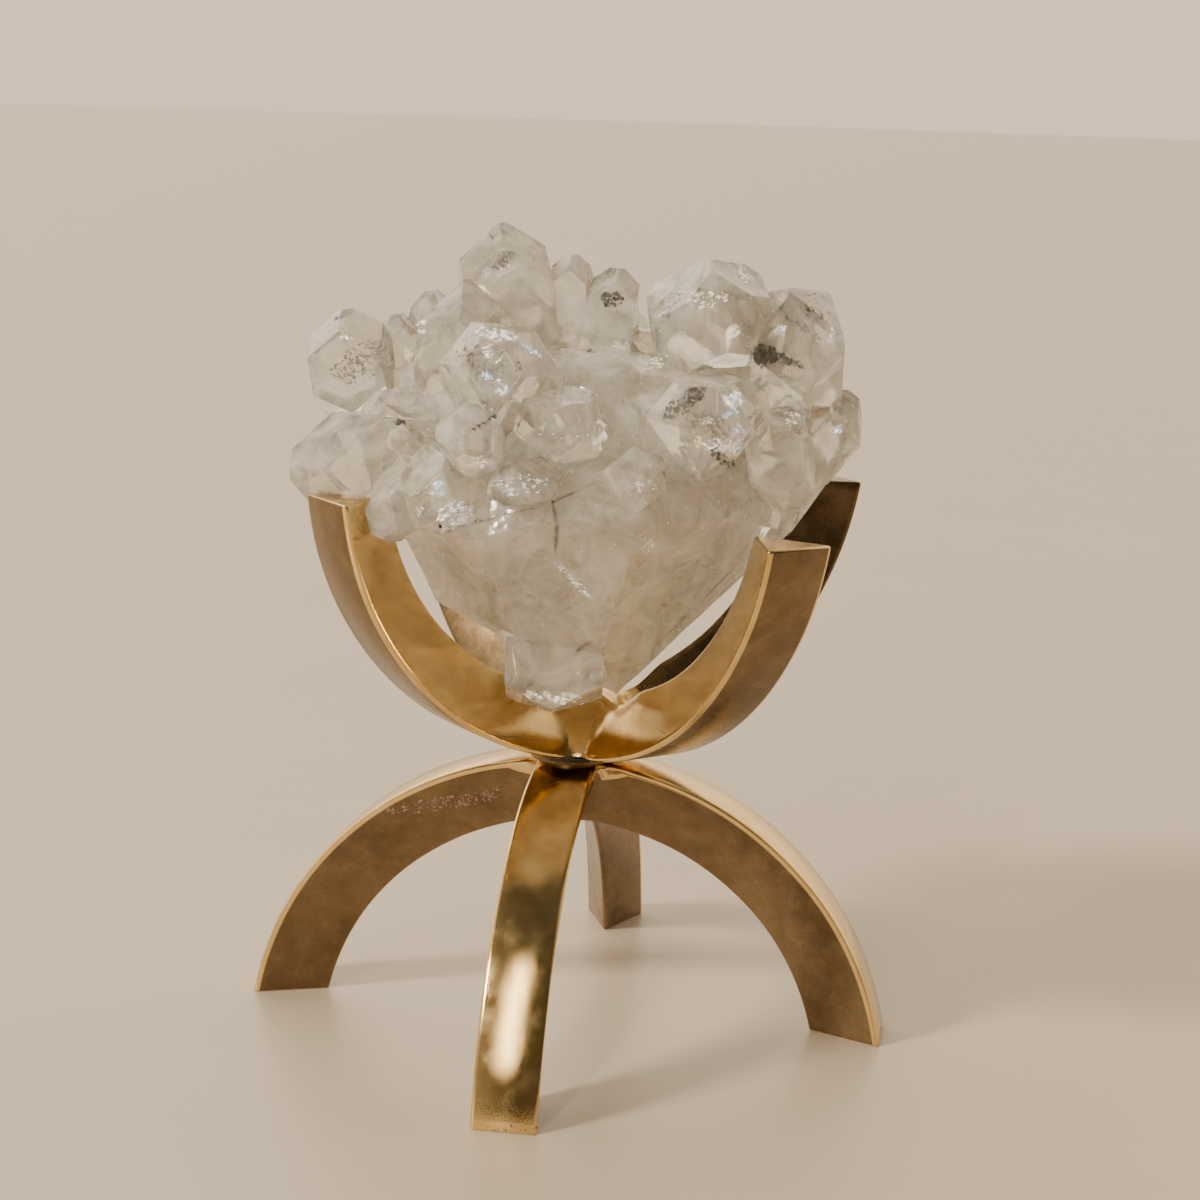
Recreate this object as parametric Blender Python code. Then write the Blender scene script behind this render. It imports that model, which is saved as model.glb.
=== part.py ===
"""An apophyllite cluster resting in a brass claw stand.

The stand is two four-armed brass castings joined back to back: a base on four curved legs, and a cup whose
four prongs curve up round the stone. The stone is one cluster of square, blunt-pointed crystals that grew
together, so it is one solid. Sizes below are in millimetres, and MM turns them into metres. +Z is up, the
origin is on the floor under the middle of the base, and the front of the piece faces -Y.
"""

import math
import random
from collections import namedtuple

import bmesh
import bpy
from mathutils import Matrix, Vector

MM = 0.001
GAP = 0.3

# A claw is an arch of bars with a flat outer face and a ridge inside. Heights run from its back to its tips.
Claw = namedtuple("Claw", "radius width depth")
BASE = Claw(radius=32.4, width=6.5, depth=7.2)
BASE_HEIGHT = 26.9
BASE_TURN = -9.6
CUP = Claw(radius=31.0, width=7.5, depth=6.5)
CUP_HEIGHT = 26.0
CUP_HEIGHT_FRONT_LEFT = 26.8
CUP_TURN = 35.2
CUP_SHIFT = 1.3
CUP_LEAN = (0.9, 1.2)
HUB_PAD_RADIUS = 4.2
HUB_PAD_DEPTH = 2.0
HUB_PAD_SIDES = 32

# The bars' long edges are worn round by this much, and their ridge is this blunt.
EDGE_WEAR = 0.45
RIDGE_BLUNT = 0.5
ARCH_STEPS = 15

# Faces that meet at less than this many degrees are shaded as one round surface.
SHARP_OVER = 30

# Each crystal: where its point is, the way it points (heading on the plan and rise above level, in degrees),
# its width and depth across the prism, its length, its turn about its own axis in degrees, how steep its
# four pyramid faces are, and how wide the flat on its end is as a share of its width.
Crystal = namedtuple("Crystal", "tip heading rise width depth length turn steep flat")
FRONT_CRYSTALS = {
    "top": Crystal((-8.5, 1, 79), -178, 83, 8.4, 7.8, 20, 6, 0.75, 0.1),
    "top_small_left": Crystal((-1.5, 0, 76.5), -128, 87, 4.2, 3.8, 13, 25, 0.85, 0.25),
    "top_small_right": Crystal((3, -1, 75.5), -21, 84, 4.6, 4.2, 14, 15, 0.85, 0.3),
    "upper_right": Crystal((10, -1, 78.5), 118, 65, 12, 11, 17.5, -27, 0.95, 0.72),
    "right": Crystal((18.5, -1, 76.5), 114, 74, 9.2, 8.8, 18.5, -20, 0.95, 0.85),
    "far_right": Crystal((26.5, -2, 64), 8, 51, 5, 4.8, 13, 20, 0.8, 0.35),
    "gem": Crystal((11, -18, 65.5), -85, 43, 7.4, 7, 12, 42, 0.7, 0.5),
    "left": Crystal((-23, -2, 70.5), 170, 80, 7, 6.8, 12, 4, 0.62, 0.1),
    "tall": Crystal((-11.5, -5, 74), -176, 87, 8.8, 8.2, 24, -9, 0.9, 0.05),
    "middle": Crystal((-8, -17, 70.5), -97, 51, 8.6, 8, 14, 42, 0.7, 0.35),
    "wedge": Crystal((-13, -22, 58), -155, -38, 6, 5.4, 9, 10, 0.9, 0.75),
    "lying_left": Crystal((-8.5, -23, 56.5), -142, -7, 3.8, 3.4, 9, 20, 0.9, 0.3),
    "lying_right": Crystal((7.5, -20, 59.5), -35, 33, 4.8, 4, 9, 20, 0.8, 0.4),
    "down_left": Crystal((-18.5, -19, 51), -132, -48, 4.6, 4.4, 10, 15, 0.8, 0.4),
    "down_front": Crystal((-13.5, -21, 52), -106, -44, 6.4, 6, 11, 30, 0.8, 0.4),
    "milky_left": Crystal((-28, -12, 57), -175, 3, 10, 9.8, 20, 4, 0.95, 0.25),
    "milky_shoulder": Crystal((-17.5, -6, 66), 147, 76, 9, 8.6, 16, 6, 0.8, 0.7),
    "broad_front": Crystal((0.5, -12, 68.5), -97, 62, 9.6, 9, 16, 8, 0.7, 0.7),
    "mid_front": Crystal((2.5, -19, 61.5), -37, -4, 5.4, 5, 12, 12, 0.7, 0.6),
    "foot": Crystal((-2, -7, 31.5), 96, -88, 10.8, 9.4, 15, 6, 0.55, 0.8),
    "behind_left": Crystal((-18.5, 3, 70), -178, 80, 3.8, 3.6, 12, 30, 0.9, 0.3),
    "behind_tall": Crystal((-15, 3, 72.5), -178, 83, 4.6, 4.2, 16, 20, 0.9, 0.3),
    "between_top": Crystal((6, 0, 70), -46, 84, 5.2, 5, 12, 12, 0.8, 0.5),
    "right_front": Crystal((17.5, -10, 64.5), 159, 80, 5.4, 5, 12, 6, 0.8, 0.6),
    "small_spark": Crystal((20.5, -10, 64), -40, 58, 3.4, 3.2, 9, 20, 0.8, 0.4),
}
BACK_CRYSTALS = {
    "back_top": Crystal((3, 9, 73), 80, 70, 8, 7.6, 18, 25, 0.9, 0.15),
    "back_left": Crystal((-18, 13, 66), 140, 45, 8.4, 8, 18, 10, 0.85, 0.2),
    "back_right": Crystal((18, 14, 68), 50, 50, 8, 7.6, 18, 35, 0.9, 0.25),
    "back_middle": Crystal((0, 20, 64), 90, 35, 9, 8.4, 18, 15, 0.8, 0.4),
    "back_low_left": Crystal((-11, 21, 56), 115, 5, 6.4, 6, 14, 30, 0.85, 0.35),
    "back_low_right": Crystal((11, 21, 57), 65, 10, 6, 5.6, 14, 20, 0.85, 0.3),
    "back_far_left": Crystal((-24, 6, 61), 165, 15, 6.6, 6.2, 14, 25, 0.85, 0.2),
    "back_crown_left": Crystal((-7, 9, 73), 120, 75, 6.6, 6.2, 16, 15, 0.85, 0.2),
    "back_crown_right": Crystal((12, 8, 73), 45, 72, 7.2, 6.6, 16, 30, 0.9, 0.3),
    "back_shoulder_left": Crystal((-11, 17, 68), 115, 48, 6.2, 5.8, 14, 5, 0.85, 0.35),
    "back_shoulder_right": Crystal((9, 18, 68), 70, 45, 5.6, 5.2, 14, 40, 0.8, 0.2),
    "back_far_right": Crystal((25, 8, 61), 20, 12, 6.6, 6.2, 15, 15, 0.85, 0.4),
    "back_side_left": Crystal((-20, 14, 56), 145, -5, 5.6, 5.2, 13, 35, 0.85, 0.3),
    "back_side_right": Crystal((18, 17, 59), 42, 12, 5.4, 5, 13, 10, 0.8, 0.25),
    "back_spark": Crystal((4, 23, 59), 85, 15, 4, 3.8, 10, 25, 0.85, 0.3),
    "back_down_left": Crystal((-4, 20, 49), 100, -28, 6, 5.6, 12, 40, 0.85, 0.4),
    "back_down_right": Crystal((12, 17, 48), 58, -30, 5.2, 4.8, 12, 10, 0.8, 0.35),
    "side_right": Crystal((24.5, 5, 66.5), 15, 25, 6, 5.6, 14, 20, 0.85, 0.3),
    "side_right_upper": Crystal((21, 6, 72), 30, 55, 6.4, 6, 15, 10, 0.85, 0.3),
}

# How unevenly the four faces of a point are set, as a share of half the crystal's width.
UNEVEN = 0.12

# The massive lower part of the stone, as the corners of one blunt wedge.
CORE_CORNERS = (
    (-17, -12, 51.5), (-13.5, -8, 43.5), (-9, -8, 41), (-7, -10, 40.5), (-10, -19, 51.5), (-2, -21, 54),
    (5.5, -20, 53.5), (13, -14, 53), (20.5, -4, 50.5), (4, -9, 35), (2, -14, 41.5), (-4.5, -13, 41),
    (26.5, 2, 59.5), (24.5, 0, 55.5), (-20, 0, 56), (-15, 12, 52), (-6, 20, 54), (6, 20, 54), (15, 12, 52),
    (-8, 10, 41), (6, 10, 40), (0, 2, 35), (-18, -4, 65), (-9, -14, 62), (5, -15, 63), (18, -5, 66),
    (12, 10, 67), (-10, 10, 67), (-6, -3, 67), (8, -3, 67), (0, 8, 68),
)


def clear_scene():
    for thing in list(bpy.data.objects):
        bpy.data.objects.remove(thing, do_unlink=True)


def make_brass():
    brass = bpy.data.materials.new("brass")
    brass.use_nodes = True
    shader = brass.node_tree.nodes["Principled BSDF"]
    shader.inputs["Base Color"].default_value = (0.58, 0.39, 0.15, 1)
    shader.inputs["Metallic"].default_value = 1.0
    shader.inputs["Roughness"].default_value = 0.25
    return brass


def make_apophyllite():
    stone = bpy.data.materials.new("apophyllite")
    stone.use_nodes = True
    shader = stone.node_tree.nodes["Principled BSDF"]
    shader.inputs["Base Color"].default_value = (0.86, 0.84, 0.78, 1)
    shader.inputs["Roughness"].default_value = 0.08
    shader.inputs["IOR"].default_value = 1.535
    shader.inputs["Transmission Weight"].default_value = 0.6
    return stone


def add_object(name, bm, material):
    """One object from a bmesh in millimetres, with its faces turned out."""
    bmesh.ops.recalc_face_normals(bm, faces=bm.faces)
    bmesh.ops.scale(bm, vec=(MM, MM, MM), verts=bm.verts)
    mesh = bpy.data.meshes.new(name)
    bm.to_mesh(mesh)
    bm.free()
    mesh.materials.append(material)
    thing = bpy.data.objects.new(name, mesh)
    bpy.context.scene.collection.objects.link(thing)
    return thing


def make_helper(thing):
    thing.hide_render = True
    thing.display_type = "WIRE"
    return thing


def combine(thing, others, operation):
    """Adds the others to a thing, or cuts them from it. They stay as hidden helpers."""
    for other in others:
        make_helper(other)
        step = thing.modifiers.new(f"{operation.lower()} {other.name}", "BOOLEAN")
        step.operation = operation
        step.solver = "EXACT"
        step.object = other
    return thing


def bar_outline(claw):
    """A bar's section as (sideways, inwards) points: the flat face outside, then the two slopes to the ridge."""
    half = claw.width / 2
    right = (
        (half - EDGE_WEAR, 0),
        (half - 0.3 * EDGE_WEAR, 0.3 * EDGE_WEAR),
        (half - 0.3 * EDGE_WEAR, 1.1 * EDGE_WEAR),
        (1.4 * RIDGE_BLUNT, claw.depth - RIDGE_BLUNT),
        (0.5 * RIDGE_BLUNT, claw.depth),
    )
    left = [(-side, inwards) for side, inwards in reversed(right)]
    return list(right) + left


def tip_angle(claw, inwards, height):
    """How far round the arch a line of it runs before the level cut at its tip."""
    return math.acos((claw.radius - height) / (claw.radius - inwards))


def make_arch(name, claw, heights, material):
    """Two opposite arms as one bowl-shaped bar, lowest at the origin, with tips at -X and +X."""
    bm = bmesh.new()
    outline = bar_outline(claw)
    rings = []
    for step in range(-ARCH_STEPS, ARCH_STEPS + 1):
        ring = []
        for side, inwards in outline:
            reach = claw.radius - inwards
            angle = tip_angle(claw, inwards, heights[step > 0]) * step / ARCH_STEPS
            spot = (reach * math.sin(angle), side, claw.radius - reach * math.cos(angle))
            ring.append(bm.verts.new(spot))
        rings.append(ring)
    for ring, following in zip(rings, rings[1:]):
        for i in range(len(outline)):
            j = (i + 1) % len(outline)
            bm.faces.new((ring[i], ring[j], following[j], following[i]))
    bm.faces.new(rings[0])
    bm.faces.new(rings[-1])
    return add_object(name, bm, material)


def shade(thing):
    thing.data.shade_smooth()
    thing.data.set_sharp_from_angle(angle=math.radians(SHARP_OVER))


def make_claw(name, claw, first_heights, second_heights, material):
    """Two arches crossed at right angles and joined, as one casting."""
    first = make_arch(name, claw, first_heights, material)
    second = make_arch(f"{name}_cross", claw, second_heights, material)
    second.data.transform(Matrix.Rotation(math.radians(90), 4, "Z"))
    shade(first)
    shade(second)
    return combine(first, [second], "UNION"), second


def place(things, location, rotation):
    for thing in things:
        thing.location = Vector(location) * MM
        thing.rotation_euler = [math.radians(angle) for angle in rotation]


def make_base(brass):
    heights = (BASE_HEIGHT, BASE_HEIGHT)
    base, cross = make_claw("claw_base", BASE, heights, heights, brass)
    place((base, cross), (0, 0, BASE_HEIGHT), (180, 0, BASE_TURN))
    bm = bmesh.new()
    bmesh.ops.create_cone(
        bm,
        cap_ends=True,
        segments=HUB_PAD_SIDES,
        radius1=HUB_PAD_RADIUS,
        radius2=HUB_PAD_RADIUS,
        depth=HUB_PAD_DEPTH,
    )
    pad = add_object("hub_pad", bm, brass)
    place((pad,), (0, 0, BASE_HEIGHT - HUB_PAD_DEPTH / 2), (0, 0, 0))
    return combine(base, [pad], "UNION")


def make_cup(name, claw, rise, brass):
    """The cup, or, with a larger claw and rise, the room that the stone leaves round it."""
    front = (CUP_HEIGHT_FRONT_LEFT + rise, CUP_HEIGHT + rise)
    side = (CUP_HEIGHT + rise, CUP_HEIGHT + rise)
    cup, cross = make_claw(name, claw, front, side, brass)
    place((cup, cross), (CUP_SHIFT, 0, BASE_HEIGHT + GAP - rise / 2), (*CUP_LEAN, CUP_TURN))
    return cup


def cut(bm, spot, facing):
    """Cuts away what lies past a plane and closes the cut with a flat face."""
    parts = bm.verts[:] + bm.edges[:] + bm.faces[:]
    done = bmesh.ops.bisect_plane(bm, geom=parts, plane_co=spot, plane_no=facing, clear_outer=True)
    rim = [part for part in done["geom_cut"] if isinstance(part, bmesh.types.BMEdge)]
    if rim:
        bmesh.ops.edgeloop_fill(bm, edges=rim)


def make_crystal(name, crystal, material):
    """A square prism with a blunt four-sided point at both ends. Its point is at the origin before it is set."""
    luck = random.Random(name)
    bm = bmesh.new()
    bmesh.ops.create_cube(bm, size=1)
    half = crystal.width / 2
    middle = Matrix.Translation((0, 0, -crystal.length / 2))
    size = Matrix.Diagonal((crystal.width, crystal.depth, crystal.length, 1))
    bmesh.ops.transform(bm, matrix=middle @ size, verts=bm.verts)
    for end, facing in ((0, 1), (-crystal.length, -1)):
        for right in (-1, 1):
            for front in (-1, 1):
                uneven = luck.uniform(-UNEVEN, UNEVEN) * half * facing
                slope = Vector((right * crystal.steep, front * crystal.steep, facing))
                cut(bm, Vector((0, 0, end + uneven)), slope)
        level = end - facing * crystal.flat * crystal.steep * half
        cut(bm, Vector((0, 0, level)), Vector((0, 0, facing)))
    aim = Matrix.Rotation(math.radians(crystal.heading), 4, "Z")
    tip_over = Matrix.Rotation(math.radians(90 - crystal.rise), 4, "Y")
    turn = Matrix.Rotation(math.radians(crystal.turn), 4, "Z")
    seat = Matrix.Translation(Vector(crystal.tip)) @ aim @ tip_over @ turn
    bmesh.ops.transform(bm, matrix=seat, verts=bm.verts)
    return add_object(name, bm, material)


def make_core(name, material):
    bm = bmesh.new()
    for corner in CORE_CORNERS:
        bm.verts.new(corner)
    hull = bmesh.ops.convex_hull(bm, input=bm.verts)
    spare = [part for part in hull["geom_interior"] if isinstance(part, bmesh.types.BMVert)]
    bmesh.ops.delete(bm, geom=spare, context="VERTS")
    return add_object(name, bm, material)


def make_cluster(stone, brass):
    core = make_core("apophyllite_cluster", stone)
    crystals = {**FRONT_CRYSTALS, **BACK_CRYSTALS}
    parts = [make_crystal(name, crystal, stone) for name, crystal in crystals.items()]
    combine(core, parts, "UNION")
    roomy = Claw(CUP.radius + GAP, CUP.width + 3 * GAP, CUP.depth + 3 * GAP)
    room = make_cup("cup_room", roomy, 2 * GAP, brass)
    return combine(core, [room], "DIFFERENCE")


def main():
    clear_scene()
    brass = make_brass()
    stone = make_apophyllite()
    make_base(brass)
    make_cup("claw_cup", CUP, 0, brass)
    make_cluster(stone, brass)


main()
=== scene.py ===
"""The looks of an apophyllite cluster resting in a brass claw stand.

Lengths are in millimetres and MM turns them into metres. The front of the piece faces -Y. Marks in the stone
and the brass are placed by the pixel of the 1200 x 1200 photograph in which they show, and set at the surface
that the camera sees there or a little under it.
"""

import math
import random
from collections import namedtuple

import bmesh
import bpy
from mathutils import Matrix, Vector, noise
from mathutils.bvhtree import BVHTree


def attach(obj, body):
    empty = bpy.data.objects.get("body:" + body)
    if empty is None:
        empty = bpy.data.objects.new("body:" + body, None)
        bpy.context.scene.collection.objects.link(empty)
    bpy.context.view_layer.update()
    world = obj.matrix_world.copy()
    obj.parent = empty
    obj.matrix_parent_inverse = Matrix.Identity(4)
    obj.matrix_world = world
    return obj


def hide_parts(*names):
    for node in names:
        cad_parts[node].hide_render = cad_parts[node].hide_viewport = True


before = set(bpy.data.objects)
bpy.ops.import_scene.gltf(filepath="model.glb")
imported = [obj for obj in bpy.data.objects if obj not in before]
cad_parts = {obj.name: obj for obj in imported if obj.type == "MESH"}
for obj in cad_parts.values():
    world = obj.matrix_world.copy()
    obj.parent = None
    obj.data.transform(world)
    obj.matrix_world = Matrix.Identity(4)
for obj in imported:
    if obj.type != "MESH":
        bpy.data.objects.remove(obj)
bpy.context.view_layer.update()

MM = 0.001

# The photograph's camera, fitted to the round arches of the stand. Its turns are in degrees, and its focal
# length and the picture's side are in pixels.
PICTURE = 1200
CAMERA_PLACE = (0, -247.6, 94.1)
CAMERA_YAW = 0.5125
CAMERA_PITCH = 11.8
CAMERA_ROLL = 1.7434
CAMERA_FOCUS = 2579.0
CAMERA_NEAR = 10
CAMERA_FAR = 50000
SENSOR = 36

# The studio: the colour of the surroundings in each direction, the floor, and what the window points at.
FRONT_RIGHT = (0.10, 0.08, 0.055)
FRONT_LEFT = (0.60, 0.49, 0.35)
BEHIND_LOW = (1.22, 0.95, 0.66)
BEHIND_HIGH = (1.65, 1.33, 0.98)
OVERHEAD = (0.10, 0.085, 0.065)
FLOOR_RADIUS = 4000
FLOOR_SIDES = 96
FLOOR_DARK = (0.65, 0.56, 0.44)
FLOOR_LIGHT = (0.72, 0.625, 0.505)
LIGHT_TARGET = (0, 0, 40)

# The stand, as in the solids: two claws of arched bars, joined back to back. A claw has the outer radius of
# its arches, the width and depth of its bars, the seed of its faces' waves, how many rounds of smoothing its
# hub gets, and the fillet in its hub. A plug is a round tapered body between two heights.
Plug = namedtuple("Plug", "radius top_radius low high")
Claw = namedtuple("Claw", "radius width depth seed hub_rounds fillet")
BASE = Claw(radius=32.4, width=6.5, depth=7.2, seed=1, hub_rounds=14, fillet=None)
BASE_HEIGHT = 26.9
BASE_TURN = -9.6
CUP_FILLET = Plug(radius=6.1, top_radius=3.3, low=0.3, high=6.0)
CUP = Claw(radius=31.0, width=7.5, depth=6.5, seed=5, hub_rounds=20, fillet=CUP_FILLET)
CUP_HEIGHT = 26.0
CUP_HEIGHT_FRONT_LEFT = 26.8
CUP_TURN = 35.2
CUP_SHIFT = 1.3
CUP_LEAN = (0.9, 1.2)
GAP = 0.3
HUB_PAD_RADIUS = 4.2
HUB_PAD_DEPTH = 2.0

# How finely the bars are drawn, how far their edges are worn, and how much their faces wave. The corners of
# a bar's back are lifted a little, and its ridge is drawn proud of its depth, as rounding takes it down.
ARCH_STEPS = 44
CURVE_POINTS = 4
PLUG_SIDES = 48
CORNER_LIFT = 0.1
RIDGE_RISE = 0.3
EDGE_ROUND = 0.6
RIDGE_ROUND = 0.9
TIP_ROUND = 0.28
TIP_SHARP = 50
BRASS_SHARP = 35
WAVE_HEIGHT = 0.05
WAVE_SCALE = 0.12

# How far from the hub its arms are smoothed into each other, and how far each round goes.
HUB_BLEND_RADIUS = 9.0
HUB_BLEND_STEP = 0.5

# The material slots of a bar: its worn edges, the slopes on its inside, its flat back and its inner ridge.
EDGE = 0
SLOPE = 1
BACK = 2
RIDGE = 3

# The prongs of the cup that lie further back than this take the darker brass all round, as painted shade cast
# by the stone above them.
SHADED_BACK_PRONGS_FROM = 3

# A finish of the brass: its colours where it is bright, deeper and stained, how much of it is clean, how
# rough it is where it is smoothest, and how metallic.
Finish = namedtuple("Finish", "bright deep stain clean_below polish metal")
POLISHED = Finish(
    bright=(0.87, 0.65, 0.31),
    deep=(0.78, 0.54, 0.22),
    stain=(0.52, 0.34, 0.14),
    clean_below=0.52,
    polish=0.06,
    metal=1.0,
)
# A darker copy of the brass, partly real patina and partly painted shade: it goes where the brass lies in
# shade or mirrors dark surroundings.
PATINA_AND_PAINTED_SHADE = Finish(
    bright=(0.27, 0.19, 0.103),
    deep=(0.19, 0.128, 0.062),
    stain=(0.11, 0.075, 0.041),
    clean_below=0.45,
    polish=0.2,
    metal=0.85,
)

# The stone: how it bends light, how far its edges are worn, from what angle in degrees they are, how near two
# points lie that are merged, and how flat two faces meet that are merged.
REFRACTION = 1.535
EDGE_WEAR = 0.14
CRYSTAL_SHARP = 14
SEAM_MERGE = 0.004
FLAT_ANGLE = 1.0

# The massive lower part ends at a height, with the weathering fading out over some way below it. It has broad
# hollows and small chips.
BODY_TOP = 53
BODY_FADE = 4
BODY_ROUNDS = 4
BODY_EDGE = 1.3
HOLLOW_DEPTH = 0.22
HOLLOW_SCALE = 0.22
CHIP_DEPTH = 0.16
CHIP_SCALE = 0.7
CHIP_SHIFT = (9, 2, 4)

# Growth steps on the large facets: the least area in square mm, the most corners, the widest corner in
# degrees and the shortest edge of a facet that may have one, how many of them do, and a step's own form.
STEP_AREA = 7
STEP_CORNERS = 8
STEP_WIDEST_CORNER = 170
STEP_SHORTEST_EDGE = 0.9
STEP_SHARE = 0.75
STEP_RIM = (0.25, 0.6)
STEP_HEIGHTS = (-0.07, -0.05, 0.05)
STEP_SLOPE = 0.08
STEP_SEED = 4

# The clouded matter inside the lower mass: its middle, its size against the stone's, how high and how far out
# it goes, and how finely it is drawn. Its surface swells and sinks a little.
MILK_MIDDLE = (0, -1, 52)
MILK_SHRINK = 0.88
MILK_TOP = 61
MILK_REACH = 17
MILK_VOXEL = 0.8
MILK_SHARP = 60
MILK_EVEN = 0.96
MILK_SWELL = 0.07
MILK_SWELL_SCALE = 0.16

# A cloud of specks or of bright flakes, the flakes glowing as painted glints: the pixel of its middle, its
# half length and half height in pixels, how its length leans in degrees, its depth under the surface, how
# many marks it has, their size and tone.
Cloud = namedtuple("Cloud", "x y wide high lean depth count size tone")
SPECKS = {
    "top_spike": Cloud(491, 236, 8, 2.5, 80, 0.9, 22, 0.30, "dark"),
    "top_patch": Cloud(501, 260, 17, 8, 20, 1.8, 138, 0.30, "grey"),
    "small_right_patch": Cloud(612, 299, 11, 8, 0, 1.2, 112, 0.33, "dark"),
    "loose_brown": Cloud(592, 352, 4, 4, 0, 0.8, 15, 0.30, "brown"),
    "upper_right_patch": Cloud(672, 304, 19, 10, 50, 1.8, 138, 0.33, "grey"),
    "right_patch": Cloud(765, 355, 12, 10, -10, 1.2, 188, 0.38, "dark"),
    "right_trail": Cloud(788, 360, 18, 4, -25, 1.2, 75, 0.30, "dark"),
    "right_specks": Cloud(818, 308, 15, 16, 0, 1.0, 62, 0.28, "dark"),
    "right_line": Cloud(800, 325, 24, 4, -35, 1.2, 88, 0.28, "grey"),
    "gem_rim": Cloud(684, 402, 27, 9, 35, 1.0, 188, 0.38, "dark"),
    "gem_foot": Cloud(722, 458, 14, 6, -35, 0.9, 112, 0.33, "dark"),
    "gem_middle": Cloud(705, 425, 18, 14, 10, 1.6, 75, 0.28, "grey"),
    "middle_specks": Cloud(519, 366, 6, 5, 30, 1.0, 22, 0.30, "brown"),
    "middle_left": Cloud(467, 350, 12, 6, 20, 1.0, 38, 0.28, "brown"),
    "middle_shade": Cloud(485, 365, 20, 16, 0, 1.8, 88, 0.28, "grey"),
    "wedge_line": Cloud(484, 423, 16, 2.5, 35, 0.8, 50, 0.28, "dark"),
    "left_slash": Cloud(338, 318, 6, 1.6, 0, 0.6, 18, 0.33, "dark"),
    "left_patch": Cloud(362, 362, 34, 18, 25, 1.6, 212, 0.30, "grey"),
    "milky_triangle": Cloud(401, 422, 8, 3, 0, 0.6, 25, 0.33, "dark"),
    "body_dash": Cloud(583, 647, 11, 1.2, 38, 1.0, 28, 0.25, "dark"),
    "right_dash": Cloud(664, 605, 4, 1.5, 10, 0.8, 10, 0.28, "brown"),
    "low_speck": Cloud(705, 566, 3, 1.2, -15, 0.8, 8, 0.30, "brown"),
    "seam_left": Cloud(490, 518, 40, 1.5, 14, 0.5, 32, 0.20, "dark"),
    "seam_right": Cloud(570, 494, 32, 1.5, 24, 0.5, 30, 0.20, "dark"),
    "dust": Cloud(590, 450, 230, 150, 0, 1.2, 188, 0.16, "brown"),
    "low_dust": Cloud(600, 580, 130, 90, 0, 1.0, 62, 0.15, "brown"),
}
# The bright flakes glow, as painted glints and sparkles in the stone.
GLINT_FLAKES = {
    "top_flakes": Cloud(500, 272, 18, 4, 20, 1.2, 33, 0.35, "white"),
    "top_facet": Cloud(482, 288, 8, 3, -35, 0.8, 8, 0.69, "warm"),
    "top_edge": Cloud(470, 244, 3, 3, 0, 0.6, 6, 0.43, "white"),
    "small_right_flakes": Cloud(618, 345, 12, 4, 0, 1.0, 18, 0.33, "white"),
    "middle_band": Cloud(497, 335, 24, 6, -12, 0.9, 69, 0.50, "white"),
    "middle_band_right": Cloud(532, 350, 12, 4, -35, 0.9, 27, 0.47, "blue"),
    "middle_low": Cloud(500, 388, 10, 9, 0, 1.0, 36, 0.35, "white"),
    "middle_blue": Cloud(486, 376, 5, 7, 60, 1.0, 15, 0.43, "blue"),
    "tall_bar_high": Cloud(421, 323, 6, 1.4, 4, 0.5, 12, 0.53, "warm"),
    "tall_bar_low": Cloud(421, 331, 6, 1.4, 4, 0.5, 12, 0.53, "warm"),
    "left_facet": Cloud(408, 354, 9, 3, -70, 0.6, 18, 0.53, "warm"),
    "upper_right_flakes": Cloud(707, 300, 20, 9, 10, 1.6, 66, 0.43, "warm"),
    "upper_right_strokes": Cloud(744, 275, 14, 8, -50, 0.8, 30, 0.43, "white"),
    "upper_right_foot": Cloud(656, 363, 18, 6, 30, 0.8, 39, 0.43, "warm"),
    "right_flakes": Cloud(780, 331, 6, 6, 40, 0.9, 21, 0.43, "white"),
    "right_edge": Cloud(832, 335, 9, 3, 75, 0.7, 15, 0.38, "white"),
    "gem_flash": Cloud(732, 400, 9, 7, 15, 0.5, 45, 0.78, "white"),
    "gem_stripe": Cloud(730, 414, 10, 2, 15, 0.5, 24, 0.56, "blue"),
    "gem_rainbow": Cloud(737, 436, 7, 14, 0, 0.8, 60, 0.43, "rainbow"),
    "gem_yellow": Cloud(700, 443, 7, 5, -50, 0.6, 24, 0.43, "yellow"),
    "gem_white": Cloud(716, 446, 10, 8, 0, 0.8, 36, 0.38, "white"),
    "far_right_flakes": Cloud(835, 432, 9, 7, 30, 0.8, 27, 0.38, "white"),
    "spark_flakes": Cloud(792, 418, 9, 8, 30, 0.8, 27, 0.40, "warm"),
    "down_blue": Cloud(438, 489, 8, 8, 30, 0.6, 36, 0.53, "blue"),
    "down_flakes": Cloud(455, 515, 18, 14, 20, 0.8, 105, 0.38, "white"),
    "down_pink": Cloud(470, 517, 8, 8, 0, 0.8, 27, 0.35, "rainbow"),
    "lying_flakes": Cloud(522, 486, 28, 11, 5, 0.7, 90, 0.35, "white"),
    "lying_right_flakes": Cloud(640, 485, 22, 9, 0, 0.8, 39, 0.30, "white"),
    "wedge_foot": Cloud(478, 463, 12, 7, 30, 0.6, 39, 0.43, "warm"),
    "body_vein": Cloud(573, 580, 26, 4, -45, 1.2, 66, 0.33, "white"),
    "body_flakes": Cloud(645, 545, 16, 8, -40, 1.0, 36, 0.28, "warm"),
    "foot_rim": Cloud(558, 700, 42, 6, -6, 0.6, 38, 0.75, "warm"),
    "stone_flakes": Cloud(590, 430, 220, 130, 0, 1.0, 285, 0.19, "white"),
    "low_flakes": Cloud(600, 570, 130, 90, 0, 1.0, 90, 0.16, "white"),
}
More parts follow.
